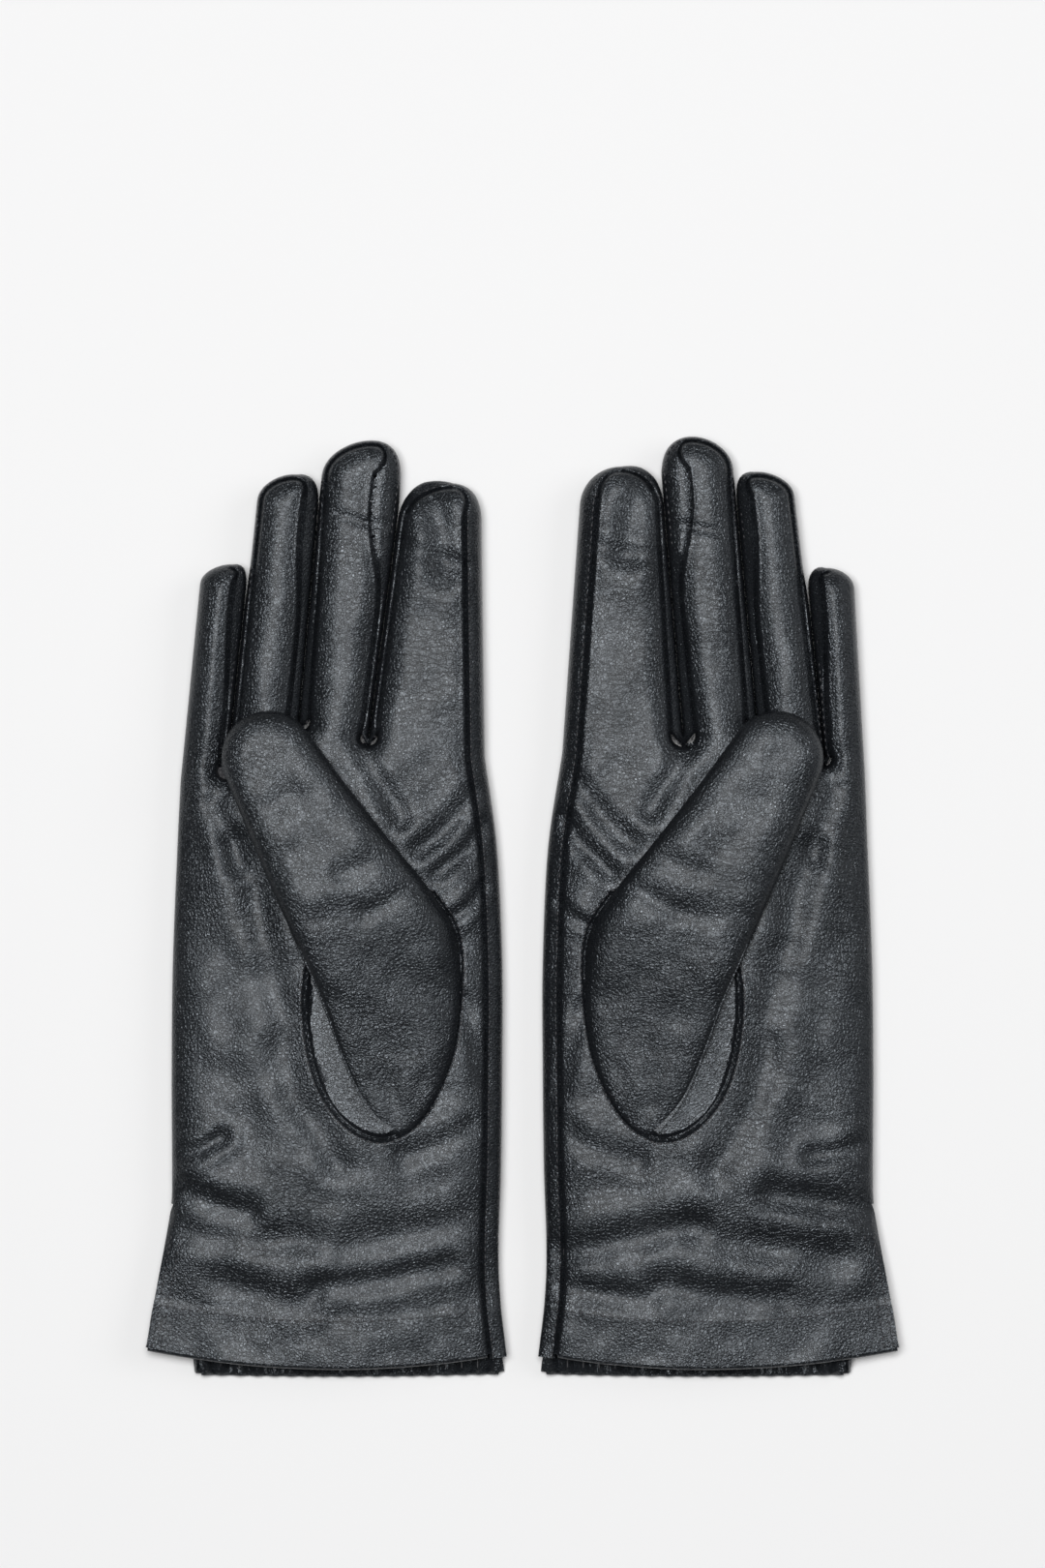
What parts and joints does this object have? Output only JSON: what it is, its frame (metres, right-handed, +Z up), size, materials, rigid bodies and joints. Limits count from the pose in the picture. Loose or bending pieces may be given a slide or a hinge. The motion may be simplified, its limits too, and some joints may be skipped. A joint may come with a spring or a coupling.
{
  "type": "pair of leather gloves",
  "caption": "A left and a right dress glove in black leather, lined, wrist length, lying palm up with the thumbs folded across the palms.",
  "frame": {"origin": "on the surface that the gloves lie on, below the middle of the pair", "axes": "+Y towards the fingertips, +Z up out of the palms, +X from the right-hand glove to the left-hand glove"},
  "size_m": [0.2022, 0.252, 0.0231],
  "materials": {
    "leather": "soft black nappa with a low blue-grey sheen, fine grain and cross creases",
    "lining": "black fine knit",
    "thread": "black matching thread",
    "elastic": "black woven elastic"
  },
  "bodies": {
    "right_hand": {"right_palm_leaf": "leather", "right_back_leaf": "leather", "right_index_side_wrap": "leather", "right_little_side_fold": "leather", "right_index_fourchette": "leather", "right_middle_fourchette_index_side": "leather", "right_middle_fourchette_ring_side": "leather", "right_ring_fourchette_middle_side": "leather", "right_ring_fourchette_little_side": "leather", "right_little_fourchette": "leather", "right_thumb_base": "leather", "right_thumb_base_lining": "lining", "right_hand_lining": "lining", "right_palm_hem": "leather", "right_back_hem": "leather", "right_wrist_elastic": "elastic", "right_vent_facing": "leather", "right_side_seam": "thread", "right_thumb_seam": "thread", "right_hem_seam": "thread"},
    "right_index_end": {"right_index_finger_end": "leather", "right_index_end_lining": "lining"},
    "right_middle_end": {"right_middle_finger_end": "leather", "right_middle_end_lining": "lining"},
    "right_ring_end": {"right_ring_finger_end": "leather", "right_ring_end_lining": "lining"},
    "right_little_end": {"right_little_finger_end": "leather", "right_little_end_lining": "lining"},
    "right_thumb": {"right_thumb_stall": "leather", "right_thumb_lining": "lining"},
    "left_hand": {"left_palm_leaf": "leather", "left_back_leaf": "leather", "left_index_side_wrap": "leather", "left_little_side_fold": "leather", "left_index_fourchette": "leather", "left_middle_fourchette_index_side": "leather", "left_middle_fourchette_ring_side": "leather", "left_ring_fourchette_middle_side": "leather", "left_ring_fourchette_little_side": "leather", "left_little_fourchette": "leather", "left_thumb_base": "leather", "left_thumb_base_lining": "lining", "left_hand_lining": "lining", "left_palm_hem": "leather", "left_back_hem": "leather", "left_wrist_elastic": "elastic", "left_vent_facing": "leather", "left_side_seam": "thread", "left_thumb_seam": "thread", "left_hem_seam": "thread"},
    "left_index_end": {"left_index_finger_end": "leather", "left_index_end_lining": "lining"},
    "left_middle_end": {"left_middle_finger_end": "leather", "left_middle_end_lining": "lining"},
    "left_ring_end": {"left_ring_finger_end": "leather", "left_ring_end_lining": "lining"},
    "left_little_end": {"left_little_finger_end": "leather", "left_little_end_lining": "lining"},
    "left_thumb": {"left_thumb_stall": "leather", "left_thumb_lining": "lining"}
  },
  "joints": [
    {"name": "right_index_bend", "type": "hinge", "parent": "right_hand", "child": "right_index_end", "pos_m": [-0.02366, 0.075, 0.013], "axis": [0.9982, -0.0603, 0], "range_deg": [0, 100]},
    {"name": "right_middle_bend", "type": "hinge", "parent": "right_hand", "child": "right_middle_end", "pos_m": [-0.04671, 0.081, 0.013], "axis": [0.9949, -0.1013, 0], "range_deg": [0, 100]},
    {"name": "right_ring_bend", "type": "hinge", "parent": "right_hand", "child": "right_ring_end", "pos_m": [-0.06649, 0.077, 0.013], "axis": [0.9943, -0.1063, 0], "range_deg": [0, 100]},
    {"name": "right_little_bend", "type": "hinge", "parent": "right_hand", "child": "right_little_end", "pos_m": [-0.08313, 0.061, 0.013], "axis": [0.9948, -0.1014, 0], "range_deg": [0, 100]},
    {"name": "right_thumb_lift", "type": "hinge", "parent": "right_hand", "child": "right_thumb", "pos_m": [-0.0456, 0.004, 0.0231], "axis": [0.848, 0.5299, 0], "range_deg": [0, 80]},
    {"name": "left_glove_lift", "type": "slide", "parent": "right_hand", "child": "left_hand", "axis": [0, 0, 1], "range_m": [0, 0.12]},
    {"name": "left_index_bend", "type": "hinge", "parent": "left_hand", "child": "left_index_end", "pos_m": [0.02629, 0.076, 0.013], "axis": [1, -0.0068, 0], "range_deg": [0, 100]},
    {"name": "left_middle_bend", "type": "hinge", "parent": "left_hand", "child": "left_middle_end", "pos_m": [0.05023, 0.081, 0.013], "axis": [0.9959, 0.0908, 0], "range_deg": [0, 100]},
    {"name": "left_ring_bend", "type": "hinge", "parent": "left_hand", "child": "left_ring_end", "pos_m": [0.06906, 0.077, 0.013], "axis": [0.9935, 0.1135, 0], "range_deg": [0, 100]},
    {"name": "left_little_bend", "type": "hinge", "parent": "left_hand", "child": "left_little_end", "pos_m": [0.08486, 0.061, 0.013], "axis": [0.9976, 0.0694, 0], "range_deg": [0, 100]},
    {"name": "left_thumb_lift", "type": "hinge", "parent": "left_hand", "child": "left_thumb", "pos_m": [0.0456, 0.004, 0.0231], "axis": [0.848, -0.5299, 0], "range_deg": [0, 80]}
  ]
}
